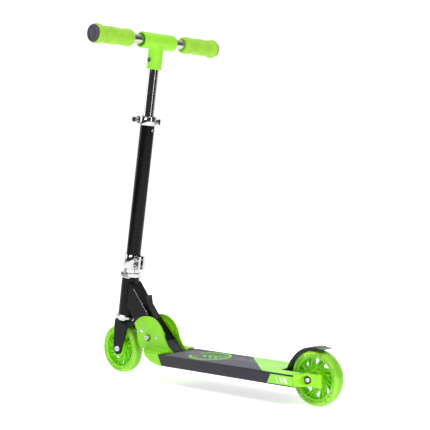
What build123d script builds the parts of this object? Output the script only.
"""Folding kick scooter for a child.

Frame: +X forward, +Y to the rider's left, +Z up, millimetres. The origin is on the ground, midway
between the axles. The deck lies level and the steering column leans back.
"""
import os
from math import cos, radians, sin, sqrt

from build123d import *

# Wheels and stance
WHEEL_RADIUS = 50.0
WHEEL_WIDTH = 24.0
RIM_RADIUS = 40.0
REAR_AXLE_X = -250.0
FRONT_AXLE_X = 250.0
AXLE_RADIUS = 3.96
BEARING_BORE = 4.02
BEARING_RADIUS = 11.0
BEARING_WIDTH = 7.0
SPOKES = 8

# Deck
DECK_WIDTH = 102.0
DECK_BOTTOM = 37.2
DECK_TOP = 58.6
DECK_REAR = -234.0
DECK_WALL = 2.2
DECK_RIB_Y = 24.0
SHEET_THICKNESS = 0.8
NOSE_BOTTOM_X = 87.0
NOSE_TOP_X = 98.0
NOTCH_FRONT = -184.0
NOTCH_HALF = 21.5

# Fold hinge
PIVOT_X = 153.5
PIVOT_Z = 83.1
HEEL_RADIUS = 41.0
NECK_HALF = 15.5
NECK_WALL = 2.2
NECK_SLOPE = 50.5
NECK_FRONT = -16.8
NECK_REAR = 23.0
NECK_BEND = 34.0
NECK_FLARE = 0.112
DETENT_RADIUS = 34.0
DETENT_INNER_Y = 16.1
DETENT_OUTER_Y = 19.1
LOCK_PIN_RADIUS = 3.2
LOCK_PIN_ANGLE = 68.0
LOCK_PIN_REACH = 37.6
COVER_INNER_Y = 19.3
COVER_OUTER_Y = 22.5
FOOT_TOP = 62.4
FLANGE_Y = 48.0
BEND_RADIUS = 5.0
RIVET_PLACES = ((171.1, 95.9), (128.8, 84.3))
RIVET_RADIUS = 2.4
WASHER_THICKNESS = 1.6
LEVER_PIVOT = (157.9, 118.3)
LEVER_HALF = 6.5
LEVER_PIN_RADIUS = 2.0

# Brake
BRAKE_PIVOT_X = -191.0
BRAKE_PIVOT_Z = 52.0
BRAKE_PIN_RADIUS = 2.5
BRAKE_BORE = 2.56
BRAKE_INNER = 52.9
BRAKE_OUTER = 55.2
BRAKE_HALF = 15.0

# Steering column, measured along its axis from the front axle
LEAN = 9.5
FORK_HALF = 17.0
FORK_GAUGE = 2.7
CROWN_TOP = 61.6
HEAD_LOW = 73.0
HEAD_HIGH = 151.5
HEAD_RADIUS = 18.0
HEAD_BORE = 15.0
STEERER_RADIUS = 12.7
STEERER_TOP = 205.0
OUTER_TUBE_RADIUS = 14.6
OUTER_TUBE_BORE = 12.76
OUTER_TUBE_LOW = 171.5
OUTER_TUBE_TOP = 484.5
INNER_TUBE_RADIUS = 10.5
INNER_TUBE_LOW = 430.0
CLAMP_LOW = 467.0
CLAMP_RADIUS = 17.1
CLAMP_BOLT_X = -21.0
CLAMP_BOLT_HEIGHTS = (179.0, 192.5)
BUTTON_HEIGHT = 458.0
BUTTON_BORE = 2.95
QR_BOLT = (20.5, 475.8)
QR_BOLT_RADIUS = 3.0
QR_CAM_Y = -13.6

# Tee and handlebar
TEE_STEM_LOW = 579.6
TEE_AXIS = 635.0
TEE_STEM_RADIUS = 15.0
TEE_RADIUS = 16.0
TEE_HALF = 44.0
BAR_RADIUS = 9.75
GRIP_START = 73.0
GRIP_END = 167.0
TEE_SCREW_HEIGHT = 598.0
BAR_BUTTON_Y = 24.0

BASE = (Align.CENTER, Align.CENTER, Align.MIN)
GAP = 0.3

COLUMN = Plane(origin=(FRONT_AXLE_X, 0, WHEEL_RADIUS),
               x_dir=(cos(radians(LEAN)), 0, sin(radians(LEAN))),
               z_dir=(-sin(radians(LEAN)), 0, cos(radians(LEAN)))).location


# ---------------------------------------------------------------- building blocks

def rod(radius, low, high):
    return Pos(0, 0, low) * Cylinder(radius, high - low, align=BASE)


def tube(outer, inner, low, high):
    return rod(outer, low, high) - rod(inner, low - 1, high + 1)


def cone(low_radius, high_radius, low, high):
    return Pos(0, 0, low) * Cone(low_radius, high_radius, high - low, align=BASE)


def block(x, y, z):
    """A box from pairs of low and high limits."""
    size = [high - low for low, high in (x, y, z)]
    middle = [(low + high) / 2 for low, high in (x, y, z)]
    return Pos(*middle) * Box(*size)


def hexagon(across_flats, low, high):
    return Pos(0, 0, low) * extrude(RegularPolygon(across_flats / 2, 6, major_radius=False), high - low)


def across(x, z, shape):
    """Lay a shape that was built along +Z across the scooter, along +Y."""
    return Pos(x, 0, z) * Rot(-90, 0, 0) * shape


def side_profile(face, low, high):
    """Extrude an outline drawn in x and z between two values of y."""
    return Pos(0, high, 0) * extrude(Plane.XZ * face, high - low)


def polygon(*points):
    return make_face(Polyline(*points, close=True))


def sector(outer, inner, start, end):
    """Part of a ring about the origin, between two angles."""
    middle = (start + end) / 2
    ring = Circle(outer) - Circle(inner) if inner else Circle(outer)
    return ring & polygon((0, 0), polar(200, start), polar(200, middle), polar(200, end))


def both_sides(shape):
    """A left-hand piece and its right-hand mirror image."""
    return Compound(children=[shape, mirror(shape, Plane.XZ)])


def polar(radius, degrees):
    return radius * cos(radians(degrees)), radius * sin(radians(degrees))


def at_pivot(radius, degrees):
    x, z = polar(radius, degrees)
    return PIVOT_X + x, PIVOT_Z + z


# ---------------------------------------------------------------- wheels

def swirl(radius, degrees):
    """A point of a spoke line that sweeps back as it nears the rim."""
    turn = -28.0 * (radius - 17.0) / (RIM_RADIUS - 17.0)
    return polar(radius, degrees + turn)


def rib(degrees, spread):
    """One thin rib of a double spoke, wider apart at the rim than at the hub."""
    inner, outer = swirl(15.5, degrees), swirl(RIM_RADIUS - 1.5, degrees + spread)
    length = sqrt((outer[0] - inner[0]) ** 2 + (outer[1] - inner[1]) ** 2)
    side = [0.9 * (inner[1] - outer[1]) / length, 0.9 * (outer[0] - inner[0]) / length]
    return polygon((inner[0] + side[0], inner[1] + side[1]), (outer[0] + side[0], outer[1] + side[1]),
                   (outer[0] - side[0], outer[1] - side[1]), (inner[0] - side[0], inner[1] - side[1]))


def wheel_window(degrees):
    tear = polygon(swirl(20.5, degrees), swirl(35.0, degrees + 13), swirl(35.0, degrees - 13))
    return fillet(tear.vertices(), 2.4)


def spoke_slot(degrees):
    slot = polygon(swirl(21.5, degrees), swirl(34.5, degrees + 4.6), swirl(34.5, degrees - 4.6))
    return fillet(slot.vertices(), 0.6)


def wheel_core(hub_half):
    """Moulded core: rim, hub with two bearing seats, and eight swept double spokes."""
    angles = [index * 360.0 / SPOKES for index in range(SPOKES)]
    web = Circle(RIM_RADIUS - 1) - Circle(13)
    for angle in angles:
        web -= wheel_window(angle + 180.0 / SPOKES)
        web -= spoke_slot(angle)
    ribs = [rib(angle, spread) for angle in angles for spread in (7.5, -7.5)]
    core = extrude(web, 2.5, both=True) + extrude(Sketch() + ribs, 6.5, both=True)
    core += tube(RIM_RADIUS, RIM_RADIUS - 3.0, -10, 10) + rod(16.0, -hub_half, hub_half)
    seat = hub_half - BEARING_WIDTH
    core -= rod(9.0, -hub_half, hub_half)
    core -= rod(BEARING_RADIUS, seat, hub_half + 1)
    core -= rod(BEARING_RADIUS, -hub_half - 1, -seat)
    return core


def tyre():
    """Cast polyurethane tyre with rounded shoulders."""
    solid = rod(WHEEL_RADIUS, -WHEEL_WIDTH / 2, WHEEL_WIDTH / 2)
    solid = fillet(solid.edges().filter_by(GeomType.CIRCLE), 7.5)
    return solid - rod(RIM_RADIUS, -13, 13)


def wheel_bearings(hub_half):
    seat = hub_half - BEARING_WIDTH
    bearing = fillet(tube(BEARING_RADIUS, BEARING_BORE, seat, hub_half).edges(), 0.4)
    return Compound(children=[bearing, mirror(bearing, Plane.XY)])


def wheel_parts(name, axle_x, hub_half):
    parts = {"tyre": tyre(), "wheel_core": wheel_core(hub_half), "bearings": wheel_bearings(hub_half)}
    return {f"{name}_{key}": across(axle_x, WHEEL_RADIUS, shape) for key, shape in parts.items()}


def axle_bolt(half, head_radius, head_height):
    """Axle bolt with a domed socket head on the left."""
    head = cone(head_radius, head_radius - 1.6, half, half + head_height)
    socket = Pos(0, 0, half + head_height - 1.8) * extrude(RegularPolygon(2.2, 6), 3)
    return rod(AXLE_RADIUS, -half - 5, half) + head - socket


def flange_nut(across_flats, flange_radius, low, high, bore):
    nut = hexagon(across_flats, low, high) + rod(flange_radius, high - 1.5, high)
    return nut - rod(bore, low - 1, high + 1)


# ---------------------------------------------------------------- deck

def screw_places(shape):
    """Copies of a shape at the four screws that hold the end castings."""
    return [Pos(x, y, 0) * shape for x in (-224, 78) for y in (-37, 37)]


def countersunk_screw():
    return cone(4.6, 2.5, DECK_BOTTOM, DECK_BOTTOM + 2.1) + rod(2.5, DECK_BOTTOM, DECK_BOTTOM + 14)


def deck_screws():
    """Countersunk screws up through the underside into the end castings."""
    socket = Pos(0, 0, DECK_BOTTOM) * extrude(RegularPolygon(1.8, 6), 1.4)
    return Compound(children=screw_places(countersunk_screw() - socket))


def plug(x_low, x_high):
    """A tongue of an end casting that fills a side chamber of the deck."""
    return block((x_low, x_high), (26, 48), (41, 56))


def deck_extrusion():
    """Extruded deck with three chambers, notched at the tail for the wheel."""
    half = DECK_WIDTH / 2
    outline = polygon((DECK_REAR, DECK_BOTTOM), (NOSE_BOTTOM_X, DECK_BOTTOM), (NOSE_TOP_X, DECK_TOP),
                      (DECK_REAR, DECK_TOP))
    deck = side_profile(outline, -half, half)
    deck = fillet(deck.edges().filter_by(Axis.X), 2.0)
    inside = (DECK_BOTTOM + DECK_WALL, DECK_TOP - DECK_WALL)
    rib_half = DECK_WALL / 2
    side_chamber = (DECK_RIB_Y + rib_half, half - DECK_WALL)
    middle_chamber = (-DECK_RIB_Y + rib_half, DECK_RIB_Y - rib_half)
    for low, high in (side_chamber, middle_chamber, (-side_chamber[1], -side_chamber[0])):
        deck -= block((DECK_REAR - 1, NOSE_TOP_X + 5), (low, high), inside)
    deck -= block((DECK_REAR - 1, NOTCH_FRONT), (-NOTCH_HALF, NOTCH_HALF), (DECK_BOTTOM - 1, DECK_TOP + 1))
    return deck - screw_places(countersunk_screw())


def sheet_outline():
    """Plan of the whole top sheet: rounded corners, cut out round the wheel and short of the hinge."""
    half = DECK_WIDTH / 2 - 2.5
    face = polygon((DECK_REAR + 1, -half), (84, -half), (84, half), (DECK_REAR + 1, half))
    return face - Pos(DECK_REAR, 0) * Rectangle(2 * (NOTCH_FRONT - DECK_REAR + 1), 2 * NOTCH_HALF + 1)


def tail_zone():
    """Plan of the plain tail zone: its front edge runs forward to the left, then curves along the side."""
    edge = Polyline((-53, -60), (-60, -49.2), (-122, 10.0))
    curve = Spline((-122, 10.0), (-144, 31.5), (-159, 45.0), (-175, 60.0), tangents=[(-62, 59.2), (-1, 1)])
    back = Polyline((-175, 60.0), (-300, 60), (-300, -60), (-53, -60))
    return make_face(Wire(edge.edges() + curve.edges() + back.edges()))


def grip_sheet_front():
    return Pos(0, 0, DECK_TOP) * extrude(sheet_outline() - tail_zone(), SHEET_THICKNESS)


def grip_sheet_rear():
    return Pos(0, 0, DECK_TOP) * extrude(sheet_outline() & tail_zone(), SHEET_THICKNESS)


def side_panels():
    """Slanted coloured panels on the deck's sides at the tail."""
    half = DECK_WIDTH / 2
    low, high = 39.8, 56.2
    panel = polygon((DECK_REAR + 0.2, low), (-176.5, low), (-184.0, high), (DECK_REAR + 0.2, high))
    return both_sides(side_profile(panel, half, half + 0.6))


def front_base():
    """Nose casting that closes the deck's front and carries the hinge plates."""
    top = DECK_TOP + SHEET_THICKNESS
    outline = polygon((NOSE_BOTTOM_X, DECK_BOTTOM), (98, DECK_BOTTOM), (121, 43.0), (138, 55.0), (162, 56.4),
                      (163, top), (NOSE_TOP_X, top), (NOSE_TOP_X, DECK_TOP))
    half = DECK_WIDTH / 2 - 1
    base = side_profile(outline, -half, half)
    hollow = polygon((60, 40.4), (98, 40.4), (118, 45.4), (133, 56.2), (60, 56.2))
    chamber = side_profile(hollow, 26, 46)
    base -= chamber + mirror(chamber, Plane.XZ)
    corner = polygon((134, 52), (166, 24), (174, 24), (174, 60), (134, 60))
    cutter = Pos(0, 0, 30) * extrude(corner, 40)
    base -= cutter + mirror(cutter, Plane.XZ)
    room = DETENT_OUTER_Y + 0.4
    base -= across(PIVOT_X, PIVOT_Z, rod(HEEL_RADIUS + 1, -room, room))
    base -= block((PIVOT_X, 178), (-room, room), (30, 70))
    tongue = plug(66, 101)
    base += tongue + mirror(tongue, Plane.XZ)
    return base - screw_places(countersunk_screw())


def cover_outline():
    """Side view of a hinge plate: a round top over the pivot and a foot that sweeps back to the deck."""
    tip, heel, sill = (38.2, 26.5), (-43.5, 10.5), DECK_TOP + SHEET_THICKNESS - PIVOT_Z
    toe, corner = (-68.0, sill), (9.5, sill)
    edge = ThreePointArc(tip, (-2.4, 43.0), heel) + ThreePointArc(heel, (-51.0, -7.0), toe)
    edge += Polyline(toe, corner, (19.0, 0.5), (35.5, 17.0), tip)
    face = make_face(edge)
    return Pos(PIVOT_X, PIVOT_Z) * fillet(face.vertices().sort_by(Axis.X)[-1], 3.0)


def fold_plate():
    """Pressed hinge plate, left hand: upright cover with its foot bent out on the nose."""
    sill = DECK_TOP + SHEET_THICKNESS
    plate = side_profile(cover_outline(), COVER_INNER_Y, COVER_OUTER_Y)
    foot = polygon((87, COVER_INNER_Y), (163, COVER_INNER_Y), (163, 24), (139, FLANGE_Y), (93, FLANGE_Y))
    foot = Pos(0, 0, sill) * extrude(foot, FOOT_TOP - sill)
    reach = COVER_OUTER_Y + BEND_RADIUS
    bend = block((94, 161), (COVER_OUTER_Y - 1, reach), (FOOT_TOP - 1, FOOT_TOP + BEND_RADIUS))
    bend -= Pos(0, reach, FOOT_TOP + BEND_RADIUS) * Rot(0, 90, 0) * Cylinder(BEND_RADIUS, 400)
    plate = plate + foot + bend
    for x, z in RIVET_PLACES:
        plate -= across(x, z, rod(RIVET_RADIUS, 0, 60))
    return plate - across(PIVOT_X, PIVOT_Z, rod(AXLE_RADIUS, 0, 60))


def detent_plate():
    """Steel plate behind the left cover: the lock pin's ends ride on its round edge between two stops."""
    disc = Circle(DETENT_RADIUS)
    stops = sector(43.0, DETENT_RADIUS - 1, 34, 57) + sector(43.0, DETENT_RADIUS - 1, 160, 171)
    foot = polygon((-30, -23.7), (8, -23.7), (24, 0), (-34, 0))
    face = Pos(PIVOT_X, PIVOT_Z) * (disc + stops + foot)
    plate = side_profile(face, DETENT_INNER_Y, DETENT_OUTER_Y)
    plate -= block((0, 300), (0, 60), (0, DECK_TOP + SHEET_THICKNESS))
    for x, z in RIVET_PLACES:
        plate -= across(x, z, rod(RIVET_RADIUS, 0, 60))
    return plate - across(PIVOT_X, PIVOT_Z, rod(AXLE_RADIUS, 0, 60))


def plate_rivets():
    rivet = rod(RIVET_RADIUS, DETENT_INNER_Y + 0.1, COVER_OUTER_Y)
    rivet += cone(4.0, 2.2, COVER_OUTER_Y, COVER_OUTER_Y + 1.8)
    return Compound(children=[side for x, z in RIVET_PLACES for side in both_sides(across(x, z, rivet))])


def pivot_bolt():
    seat = COVER_OUTER_Y + WASHER_THICKNESS
    head = cone(5.6, 4.4, seat, seat + 3.4)
    socket = Pos(0, 0, seat + 1.6) * extrude(RegularPolygon(2.6, 6), 3)
    return across(PIVOT_X, PIVOT_Z, rod(AXLE_RADIUS, -seat - 4.4, seat) + head - socket)


def pivot_washers():
    washer = tube(6.8, AXLE_RADIUS, COVER_OUTER_Y, COVER_OUTER_Y + WASHER_THICKNESS)
    return both_sides(fillet(across(PIVOT_X, PIVOT_Z, washer).edges(), 0.3))


def pivot_nut():
    seat = COVER_OUTER_Y + WASHER_THICKNESS
    nut = hexagon(12.8, -seat - 6, -seat) - rod(AXLE_RADIUS, -seat - 7, -seat + 1)
    return across(PIVOT_X, PIVOT_Z, nut)


def hinge_ramp():
    """Fixed filler between the plates, flush with the neck's rear face, clear of its round heel."""
    foot = DECK_TOP + SHEET_THICKNESS
    reach = HEEL_RADIUS + 0.6
    high = neck_point(-24.0, neck_rear_at(-24.0))
    low = neck_point(-75.0, neck_rear_at(-75.0))
    toe = low[0] + (high[0] - low[0]) * (foot - low[1]) / (high[1] - low[1])
    wedge = polygon((toe, foot), (PIVOT_X, foot), (PIVOT_X, high[1]), high)
    ramp = side_profile(wedge - Pos(PIVOT_X, PIVOT_Z) * Circle(reach), -NECK_HALF, NECK_HALF)
    return ramp - block((98, 108), (-11, 11), (50, 66))


def rear_bracket():
    """Tail casting: cheeks along the wheel notch, end caps on the deck and two stepped dropout arms."""
    low, high = DECK_BOTTOM + 1.6, 61.0
    plan = polygon((-237.5, 18.3), (-237.5, 22), (-277, 22), (-277, 31), (-255, 31), (-248, 33.5),
                   (DECK_REAR, 50.5), (DECK_REAR, 18.3))
    arm = Pos(0, 0, low) * extrude(plan, high - low)
    above = polygon((-232, high + 4), (-232, 59.4), (-244, high), (-290, high), (-290, high + 4))
    top_slope = side_profile(above, 0, 60)
    nose = arm.edges().filter_by(Axis.Z).group_by(Axis.X)[0]
    arm = fillet(nose, 3.5) - top_slope
    arm -= across(REAR_AXLE_X, WHEEL_RADIUS, cone(7.2, 12.0, 29.4, 46))
    arm -= across(REAR_AXLE_X, WHEEL_RADIUS, rod(AXLE_RADIUS, 0, 60))
    cheek = block((DECK_REAR - 1, NOTCH_FRONT - 0.2), (18.3, NOTCH_HALF - 0.2), (DECK_BOTTOM + 0.4, DECK_TOP))
    cheek -= across(BRAKE_PIVOT_X, BRAKE_PIVOT_Z, rod(BRAKE_PIN_RADIUS, 0, 60))
    half = arm + cheek + plug(DECK_REAR - 1, -212)
    bridge = block((NOTCH_FRONT - 2.7, NOTCH_FRONT - 0.2), (-20, 20), (DECK_BOTTOM + 0.4, 46))
    return half + mirror(half, Plane.XZ) + bridge - screw_places(countersunk_screw())


def rear_spacers():
    return both_sides(across(REAR_AXLE_X, WHEEL_RADIUS, tube(6.0, AXLE_RADIUS, 12.2, 22)))


def rear_washers():
    return both_sides(across(REAR_AXLE_X, WHEEL_RADIUS, tube(6.6, AXLE_RADIUS, 29.4, 31.2)))


# ---------------------------------------------------------------- brake

def brake_fender():
    """Spring-steel mudguard that is trodden on to brake, hinged in the deck's notch."""
    axle = Pos(REAR_AXLE_X, WHEEL_RADIUS)
    start, end = 33, 98
    crown = side_profile(axle * sector(BRAKE_OUTER, BRAKE_INNER, start, end), -BRAKE_HALF, BRAKE_HALF)
    lips = side_profile(axle * sector(BRAKE_OUTER, 48.5, start + 3, end - 2), 13.0, BRAKE_HALF)
    x, z = polar(BRAKE_INNER, end)
    tail = polygon((x + 1, z), (x - 5, z - 1.2), (x - 12, z - 0.6), (x - 12.3, z + 1.3), (x - 5.4, z + 1.0),
                   (x + 1.5, z + 2.2))
    flare = side_profile(axle * tail, -BRAKE_HALF, BRAKE_HALF)
    outer, inner = polar(BRAKE_OUTER, start), polar(BRAKE_INNER, start)
    strap = polygon(outer, inner, (56.2, 12), (56.0, 3), (60.5, 3), (60.0, 12), (51.6, 28))
    leg = side_profile(axle * strap, -11, 11)
    knuckle = across(BRAKE_PIVOT_X, BRAKE_PIVOT_Z, rod(4.6, -17.5, 5))
    bore = across(BRAKE_PIVOT_X, BRAKE_PIVOT_Z, rod(BRAKE_BORE, -30, 30))
    room = across(BRAKE_PIVOT_X, BRAKE_PIVOT_Z, rod(6.0, 5, 18))
    return crown + lips + mirror(lips, Plane.XZ) + flare + (leg - room) + knuckle - bore


def brake_hinge_pin():
    return across(BRAKE_PIVOT_X, BRAKE_PIVOT_Z, rod(BRAKE_PIN_RADIUS, -21.2, 21.2))


def brake_spring():
    """Torsion spring round the hinge pin, drawn as its closed coil."""
    coil = tube(4.2, BRAKE_BORE, 6.5, 16.5)
    for turn in range(8):
        coil -= tube(4.4, 3.9, 7.4 + turn * 1.2, 7.8 + turn * 1.2)
    return across(BRAKE_PIVOT_X, BRAKE_PIVOT_Z, coil)


# ---------------------------------------------------------------- neck

def neck_point(along, out):
    """A point given along the neck's slope from the fold pivot and out from it towards the rear."""
    slope = radians(NECK_SLOPE)
    return (PIVOT_X + along * cos(slope) - out * sin(slope), PIVOT_Z + along * sin(slope) + out * cos(slope))


def neck_rear_at(along):
    """How far out the rear face is: it flares a little below its bend."""
    return NECK_REAR + max(0.0, NECK_BEND - along) * NECK_FLARE


def neck_outline(inset):
    """Side view of the sloping neck: front and rear faces and a heel that is round about the pivot."""
    high, low = 250.0, -60.0
    front = NECK_FRONT + inset
    band = polygon(neck_point(high, front), neck_point(high, NECK_REAR - inset),
                   neck_point(NECK_BEND, NECK_REAR - inset), neck_point(low, neck_rear_at(low) - inset),
                   neck_point(low, front))
    upper = polygon(neck_point(0, -100), neck_point(high, -100), neck_point(high, 100), neck_point(0, 100))
    return band & (Pos(PIVOT_X, PIVOT_Z) * Circle(HEEL_RADIUS - inset) + upper)


def neck_channel():
    """Welded box neck from the head tube down to the fold pivot."""
    neck = side_profile(neck_outline(0), -NECK_HALF, NECK_HALF)
    inner_half = NECK_HALF - NECK_WALL
    chamber = side_profile(neck_outline(NECK_WALL), -inner_half, inner_half)
    neck -= chamber - COLUMN * block((-200, 200), (-60, 60), (142.5, 400))
    neck -= COLUMN * rod(HEAD_RADIUS, -100, 300)
    neck -= COLUMN * block((-4, 200), (-60, 60), (0, 300))
    neck -= COLUMN * block((-200, 200), (-60, 60), (145.0, 400))
    sleeve = across(PIVOT_X, PIVOT_Z, rod(7.0, -NECK_HALF, NECK_HALF))
    neck = neck + sleeve - across(PIVOT_X, PIVOT_Z, rod(AXLE_RADIUS + 0.07, -30, 30))
    slot = Pos(*at_pivot(LOCK_PIN_REACH + 1.8, LOCK_PIN_ANGLE)) * Rot(0, 0, LOCK_PIN_ANGLE) * Rectangle(10.6, 7.4)
    neck -= side_profile(slot, -30, 30)
    window = Pos(*neck_point(31.0, NECK_REAR - 3)) * Rot(0, 0, NECK_SLOPE) * Rectangle(17, 9)
    neck -= side_profile(window, -LEVER_HALF - 0.6, LEVER_HALF + 0.6)
    return neck - across(*LEVER_PIVOT, rod(LEVER_PIN_RADIUS, -30, 30))


def head_tube():
    return COLUMN * tube(HEAD_RADIUS, HEAD_BORE, HEAD_LOW, HEAD_HIGH)


def headset_cups():
    """Pressed bearing cups at both ends of the head tube."""
    lower = cone(22.2, 18.2, 70.2, HEAD_LOW) + rod(22.2, 66.0, 70.2) + rod(HEAD_BORE, HEAD_LOW, 82)
    lower += cone(19.0, 22.2, CROWN_TOP + GAP, 66.0)
    lower -= rod(13.4, 60, 90)
    upper = cone(18.6, 20.6, HEAD_HIGH, 154.0) + rod(HEAD_BORE, 142, HEAD_HIGH)
    upper -= rod(13.4, 130, 160)
    return Compound(children=[COLUMN * lower, COLUMN * upper])


def lock_pin():
    """Cross pin that the latch lifts in the neck's slots; it rides on the detent plates."""
    x, z = at_pivot(LOCK_PIN_REACH, LOCK_PIN_ANGLE)
    half = DETENT_OUTER_Y - 0.2
    return across(x, z, rod(LOCK_PIN_RADIUS, -half, half))


def latch_lever():
    """Release lever on the neck's rear face, a curved blade with a finger hook at its top."""
    face = NECK_REAR + 0.6
    outer = [(24, face), (24, 27.6), (38, 27.8), (50, 28.6), (60, 31.6), (68, 36.0), (74, 40.2)]
    inner = [(75.8, 38.4), (70.5, 32.6), (63, 27.6), (53, 24.6), (41, face)]
    shell = side_profile(polygon(*[neck_point(*point) for point in outer + inner]), -LEVER_HALF, LEVER_HALF)
    nose = [(24, face + 1), (36, face + 1), (35, 18.6), (26, 16.6)]
    lug = side_profile(polygon(*[neck_point(*point) for point in nose]), -LEVER_HALF, LEVER_HALF)
    lug += across(*LEVER_PIVOT, rod(3.6, -LEVER_HALF, LEVER_HALF))
    return shell + lug - across(*LEVER_PIVOT, rod(LEVER_PIN_RADIUS + 0.06, -30, 30))


def latch_hinge_pin():
    return across(*LEVER_PIVOT, rod(LEVER_PIN_RADIUS, -NECK_HALF, NECK_HALF))


# ---------------------------------------------------------------- fork and column

def fork():
    """Fork bent from one strip: two tapered legs under a flat crown, with a skirt behind the wheel."""
    inner = FORK_HALF - FORK_GAUGE
    outer_u = Pos(0, 20) * Rectangle(2 * FORK_HALF, 2 * (CROWN_TOP - 20))
    outer_u = fillet(outer_u.vertices(), 6.0)
    inner_u = Pos(0, 20) * Rectangle(2 * inner, 2 * (CROWN_TOP - 4 - 20))
    inner_u = fillet(inner_u.vertices(), 3.3) + Pos(0, -30) * Rectangle(2 * inner, 100)
    section = Plane.YZ * (outer_u - inner_u)
    strip = extrude(section, 60, both=True)
    side = polygon((11.75, 0), (15.5, 40), (17.0, CROWN_TOP), (-20.0, CROWN_TOP), (-20.0, 47.0), (-11.75, 0))
    side += Circle(11.75)
    legs = strip & side_profile(side, -40, 40)
    skirt = block((-20.0, -17.3), (-inner - 1, inner + 1), (51.5, CROWN_TOP - 3))
    body = legs + skirt - across(0, 0, rod(AXLE_RADIUS, -40, 40))
    body -= rod(STEERER_RADIUS, 40, 80)
    return COLUMN * body


def front_axle_bolt():
    return COLUMN * across(0, 0, axle_bolt(FORK_HALF, 6.2, 3.4))


def front_axle_nut():
    return COLUMN * across(0, 0, flange_nut(12.8, 7.6, -23.2, -FORK_HALF, AXLE_RADIUS))


def rear_axle_bolt():
    return across(REAR_AXLE_X, WHEEL_RADIUS, axle_bolt(31.2, 4.6, 2.8))


def rear_axle_nut():
    return across(REAR_AXLE_X, WHEEL_RADIUS, hexagon(9.4, -36.4, -31.2) - rod(AXLE_RADIUS, -40, -30))


def steerer_tube():
    return COLUMN * tube(STEERER_RADIUS, STEERER_RADIUS - 2.0, CROWN_TOP - 4, STEERER_TOP)


def headset_locknut():
    """Large hexagon nut with chamfered corners on the upper bearing."""
    nut = hexagon(38.0, 154.4, 162.0) & (cone(20.4, 24.4, 154.4, 158.4) + cone(24.4, 20.6, 158.4, 162.0))
    return COLUMN * (nut - rod(STEERER_RADIUS, 150, 170))


def headset_collar():
    ring = fillet(tube(15.6, STEERER_RADIUS, 162.0, 171.2).edges(), 0.8)
    return COLUMN * ring


def lower_clamp():
    """Split collar with two ears behind, squeezed round the column by two bolts."""
    ears = fillet(block((-27, -12), (-9.5, 9.5), (172, 199.5)).edges().filter_by(Axis.X), 2)
    body = rod(CLAMP_RADIUS, 171.5, 200) + ears - rod(OUTER_TUBE_RADIUS, 160, 210)
    body -= block((-30, 0), (-3.3, 3.3), (160, 210))
    for height in CLAMP_BOLT_HEIGHTS:
        body -= across(CLAMP_BOLT_X, height, rod(2.5, -30, 30))
    return COLUMN * body


def lower_clamp_bolts():
    head = rod(4.3, 9.5, 13.7) - Pos(0, 0, 11.5) * extrude(RegularPolygon(2.3, 6), 3)
    bolt = rod(2.5, -12, 9.5) + fillet(head.edges().filter_by(GeomType.CIRCLE), 0.6)
    return Compound(children=[COLUMN * across(CLAMP_BOLT_X, height, bolt) for height in CLAMP_BOLT_HEIGHTS])


def outer_tube():
    """Main column tube, pierced at the back for the height button."""
    body = tube(OUTER_TUBE_RADIUS, OUTER_TUBE_BORE, OUTER_TUBE_LOW, OUTER_TUBE_TOP)
    return COLUMN * (body - button_bore(BUTTON_BORE))


def button_bore(radius):
    return Pos(0, 0, BUTTON_HEIGHT) * Rot(0, -90, 0) * rod(radius, 5, 30)


def tube_bush():
    """Plastic sleeve that guides the sliding tube at the top of the column."""
    sleeve = tube(OUTER_TUBE_BORE - 0.02, INNER_TUBE_RADIUS + 0.07, 440, OUTER_TUBE_TOP)
    lip = tube(13.0, INNER_TUBE_RADIUS + 0.07, OUTER_TUBE_TOP, OUTER_TUBE_TOP + 0.8)
    return COLUMN * (sleeve + lip - button_bore(BUTTON_BORE))


def upper_clamp():
    """Quick-release collar: a split band with its two ears in front."""
    ears = fillet(block((12, 26.5), (-7.5, 7.5), (468.5, 483.0)).edges().filter_by(Axis.Y), 3)
    band = rod(CLAMP_RADIUS, CLAMP_LOW, OUTER_TUBE_TOP)
    body = band + ears - rod(OUTER_TUBE_RADIUS, 460, 490) - block((0, 30), (-2, 2), (460, 490))
    return COLUMN * (body - across(*QR_BOLT, rod(QR_BOLT_RADIUS, -30, 30)))


def qr_bolt():
    """Skewer of the quick release, with its eye round the cam pin."""
    bolt = rod(QR_BOLT_RADIUS, QR_CAM_Y + 6, 19.0)
    eye = Pos(QR_BOLT[0], QR_CAM_Y, QR_BOLT[1]) * Cylinder(2.2, 13.0)
    neck = across(*QR_BOLT, bolt)
    stem = across(*QR_BOLT, rod(1.8, QR_CAM_Y, QR_CAM_Y + 7))
    return COLUMN * (neck + eye + stem)


def qr_nut():
    """Knurled thumb nut at the bolt's left end."""
    nut = cone(6.0, 5.2, 12.0, 20.5)
    for index in range(16):
        nut -= Pos(*polar(6.2, index * 22.5), 0) * rod(0.55, 11, 23)
    return COLUMN * across(*QR_BOLT, nut - rod(QR_BOLT_RADIUS, 10, 19.0))


def qr_washer():
    return COLUMN * across(*QR_BOLT, tube(5.0, QR_BOLT_RADIUS, 7.5, 12.0))


def qr_lever():
    """Cam lever that wraps round the right-hand side of the collar."""
    cam_x, height = QR_BOLT
    low, high = height - 5.5, height + 5.5
    cam = Pos(cam_x, QR_CAM_Y, 0) * rod(5.6, low, high)
    wrap = (Circle(25.2) - Circle(22.0)) & polygon((0, 0), (20.0, -60), (-60, -60), (-60, -42))
    root = polygon((11.0, -19.0), (19, -18.8), (22, -17), (12.5, -22.8), (6, -24.6))
    arm = extrude(wrap, high - low) + extrude(root, high - low)
    lever = cam + Pos(0, 0, low) * arm
    lever -= Pos(cam_x, QR_CAM_Y, 0) * rod(2.26, low - 1, high + 1)
    swing = sector(9.0, 0, -90, 25) + sector(9.0, 0, 24, 145)
    room = Pos(cam_x, QR_CAM_Y, height) * extrude(swing, 2.6, both=True)
    return COLUMN * (lever - room)


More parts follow.
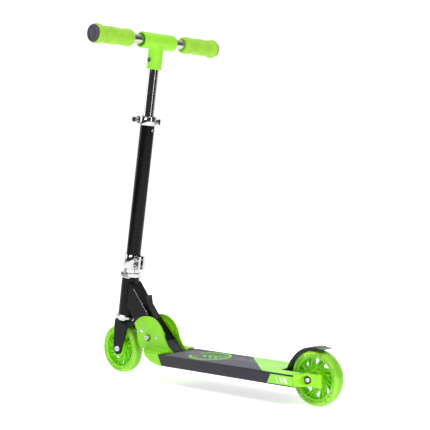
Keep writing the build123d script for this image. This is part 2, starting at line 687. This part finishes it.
def height_button():
    """Snap button that locks the sliding tube's height."""
    button = rod(2.7, 12.5, 16.0) + cone(2.7, 1.9, 16.0, 16.9)
    return COLUMN * (Pos(0, 0, BUTTON_HEIGHT) * Rot(0, -90, 0) * button)


def inner_tube():
    body = tube(INNER_TUBE_RADIUS, INNER_TUBE_RADIUS - 1.4, INNER_TUBE_LOW, 620.0)
    return COLUMN * (body - across(0, TEE_SCREW_HEIGHT, rod(2.5, 0, 30)))


# ---------------------------------------------------------------- tee, bars and grips

def is_tee_seam(edge):
    """Whether an edge is where the stem runs into the barrel."""
    near_axis = abs(edge.center().Z - TEE_AXIS) < TEE_RADIUS and abs(edge.center().Y) < 20
    return near_axis and edge.geom_type != GeomType.CIRCLE and edge.bounding_box().size.Z > 2


def tee_piece():
    """Moulded tee: a stem over the sliding tube and a barrel that takes the two bars."""
    stem = fillet(rod(TEE_STEM_RADIUS, TEE_STEM_LOW, TEE_AXIS).edges().group_by(Axis.Z)[0], 1.5)
    barrel = fillet(rod(TEE_RADIUS, -TEE_HALF, TEE_HALF).edges().filter_by(GeomType.CIRCLE), 1.5)
    body = stem + across(0, TEE_AXIS, barrel)
    seam = [edge for edge in body.edges() if is_tee_seam(edge)]
    body = fillet(seam, 5.0)
    body -= rod(INNER_TUBE_RADIUS, 500, 620.0)
    body -= across(0, TEE_AXIS, rod(BAR_RADIUS + 0.07, -60, 60))
    for low, high in ((-60, -TEE_HALF + 5), (TEE_HALF - 5, 60)):
        body -= across(0, TEE_AXIS, rod(12.8, low, high))
    body -= across(0, TEE_SCREW_HEIGHT, rod(2.5, 0, 14) + rod(4.2, 13, 30))
    for side in (-1, 1):
        body -= Pos(0, side * BAR_BUTTON_Y, TEE_AXIS) * Rot(0, 90, 0) * rod(3.2, 5, 30)
    return COLUMN * body


def tee_screw():
    screw = rod(2.5, 9.2, 13) + rod(4.2, 13, 16.4)
    screw -= Pos(0, 0, 14.6) * extrude(RegularPolygon(2.2, 6), 3)
    return COLUMN * across(0, TEE_SCREW_HEIGHT, screw)


def on_bar(shape):
    return COLUMN * across(0, TEE_AXIS, shape)


def handlebar():
    return tube(BAR_RADIUS, BAR_RADIUS - 1.5, 2.0, GRIP_END)


def grip():
    """Foam grip: a belly between two waists, a rounded inner end and a flange at the outer end."""
    waves = [(14.0, GRIP_START), (16.6, GRIP_START + 3), (17.3, 80), (16.1, 95), (17.0, 121), (16.2, 146),
             (18.9, 156), (18.9, 164), (16.8, GRIP_END)]
    outline = Polyline((BAR_RADIUS, GRIP_START), waves[0])
    outline += Spline(*waves, tangents=[(1, 0.2), (-1, 0.6)], tangent_scalars=[0.3, 0.3])
    outline += Polyline(waves[-1], (BAR_RADIUS, GRIP_END), (BAR_RADIUS, GRIP_START))
    return revolve(Plane.XZ * make_face(outline), Axis.Z)


def end_cap():
    cap = rod(15.0, GRIP_END, GRIP_END + 3.0)
    cap = fillet(cap.edges().group_by(Axis.Z)[-1], 1.2)
    cap += rod(BAR_RADIUS - 1.55, GRIP_END - 14, GRIP_END)
    return cap - tube(10.0, 8.6, GRIP_END + 2.4, GRIP_END + 4)


def bar_button(side):
    button = rod(3.0, 11.8, 16.8) + cone(3.0, 2.2, 16.8, 17.6)
    return COLUMN * (Pos(0, side * BAR_BUTTON_Y, TEE_AXIS) * Rot(0, 90, 0) * button)


def bar_parts():
    parts = {}
    for name, shape in (("handlebar", handlebar()), ("grip", grip()), ("end_cap", end_cap())):
        left = on_bar(shape)
        parts[f"{name}_left"] = left
        parts[f"{name}_right"] = mirror(left, Plane.XZ)
    return parts


# ---------------------------------------------------------------- assembly

def scooter_parts():
    """Every node of the scooter by name."""
    makers = (deck_extrusion, grip_sheet_front, grip_sheet_rear, side_panels, deck_screws, front_base,
              plate_rivets, pivot_bolt, pivot_washers, pivot_nut, hinge_ramp, rear_bracket,
              rear_axle_bolt, rear_axle_nut, rear_washers, rear_spacers, brake_fender, brake_hinge_pin,
              brake_spring, head_tube, neck_channel, headset_cups, lock_pin, latch_lever, latch_hinge_pin,
              fork, steerer_tube, headset_locknut, headset_collar, front_axle_bolt, front_axle_nut,
              lower_clamp, lower_clamp_bolts, outer_tube, tube_bush, upper_clamp, qr_bolt, qr_nut, qr_washer,
              qr_lever, height_button, inner_tube, tee_piece, tee_screw)
    parts = {maker.__name__: maker() for maker in makers}
    parts["fold_plates"] = both_sides(fold_plate())
    parts["detent_plates"] = both_sides(detent_plate())
    parts["bar_button_left"] = bar_button(1)
    parts["bar_button_right"] = bar_button(-1)
    parts.update(bar_parts())
    parts.update(wheel_parts("front", FRONT_AXLE_X, 14.0))
    parts.update(wheel_parts("rear", REAR_AXLE_X, 12.0))
    return parts


os.makedirs("parts", exist_ok=True)
for node, solid in scooter_parts().items():
    export_step(solid, f"parts/{node}.step")
